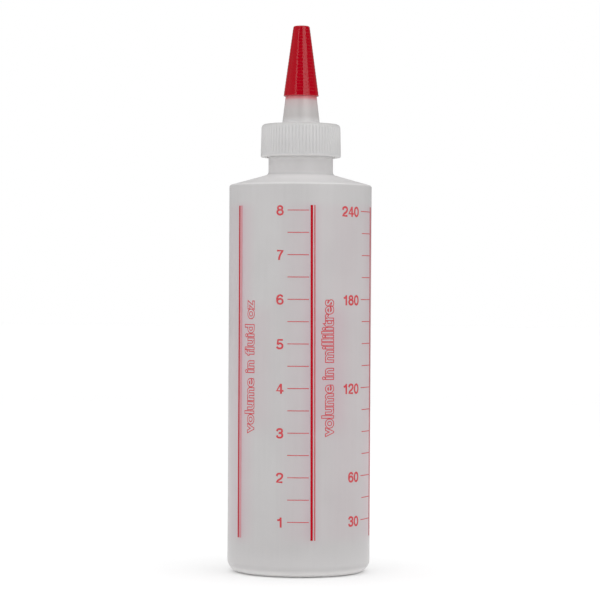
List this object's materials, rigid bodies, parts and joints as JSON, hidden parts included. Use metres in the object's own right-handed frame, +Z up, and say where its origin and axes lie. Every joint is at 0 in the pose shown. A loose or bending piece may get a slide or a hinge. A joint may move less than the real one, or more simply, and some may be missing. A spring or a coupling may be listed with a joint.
{
  "type": "squeeze bottle",
  "caption": "Milky plastic squeeze bottle with a printed volume scale, a ribbed screw cap that ends in a conical spout, and a red pull-off tip cover, for measured dispensing of liquids.",
  "frame": {"origin": "centre of the base, in the plane it stands on", "axes": "+Z up along the bottle's axis, -Y towards the viewer of the ounce scale, +X to that viewer's right"},
  "size_m": [0.0508, 0.0508, 0.1945],
  "materials": {
    "natural_bottle": "milky natural polyethylene, satin, with red screen-printed scales",
    "seal_foam": "soft white polyethylene foam",
    "natural_cap": "milky natural polyethylene, satin, with moulded grip ribs",
    "red_cover": "red polyethylene, semi-gloss, with fine moulded rings"
  },
  "bodies": {
    "bottle": {"bottle": "natural_bottle"},
    "seal_ring": {"seal_ring": "seal_foam"},
    "spout_cap": {"spout_cap": "natural_cap"},
    "tip_cover": {"tip_cover": "red_cover"}
  },
  "joints": [
    {"name": "cap_lift", "type": "slide", "parent": "bottle", "child": "seal_ring", "axis": [0, 0, 1], "range_m": [0, 0.00424]},
    {"name": "cap_turn", "type": "hinge", "parent": "seal_ring", "child": "spout_cap", "pos_m": [0, 0, 0.1527], "axis": [0, 0, 1], "range_deg": [0, 480]},
    {"name": "tip_pull", "type": "slide", "parent": "spout_cap", "child": "tip_cover", "axis": [0, 0, 1], "range_m": [0, 0.03]}
  ],
  "couplings": [
    {"joint": "cap_lift", "follows": "cap_turn", "m_per_rad": 0.00050532}
  ]
}
